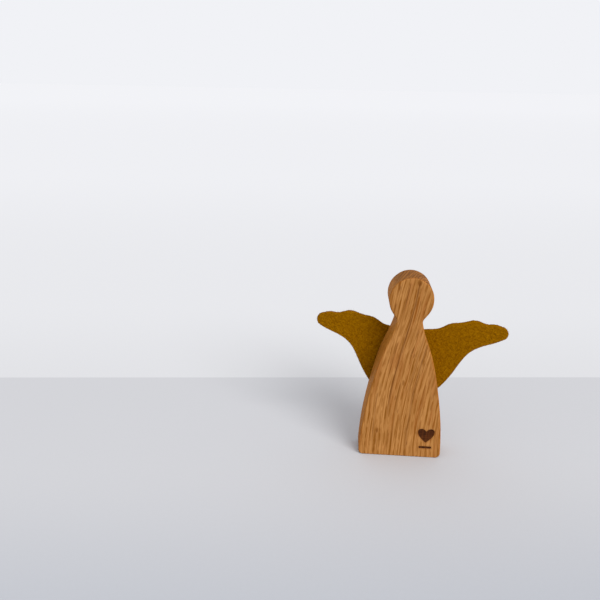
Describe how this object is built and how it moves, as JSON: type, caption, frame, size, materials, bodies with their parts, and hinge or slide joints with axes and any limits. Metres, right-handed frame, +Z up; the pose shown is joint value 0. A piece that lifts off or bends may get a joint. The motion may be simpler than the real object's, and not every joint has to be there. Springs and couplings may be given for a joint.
{
  "type": "guardian angel figurine",
  "caption": "Small faceless standing angel sawn from a flat oak slab, with a pair of felt wings bonded to its back.",
  "frame": {"origin": "on the surface the figure stands on, at the middle of the oak slab's foot", "axes": "+Z up to the crown of the head, +X to the viewer's right across the slab, -Y out of the front face; the wings lie on the +Y side"},
  "size_m": [0.0693, 0.0121, 0.07],
  "materials": {
    "oak": "sanded oak, thinly oiled, satin",
    "felt": "mustard wool felt, matt and fibrous",
    "adhesive": "clear adhesive film, dried dull"
  },
  "bodies": {
    "root": {"body": "oak", "wings": "felt", "adhesive_film": "adhesive"}
  },
  "joints": []
}
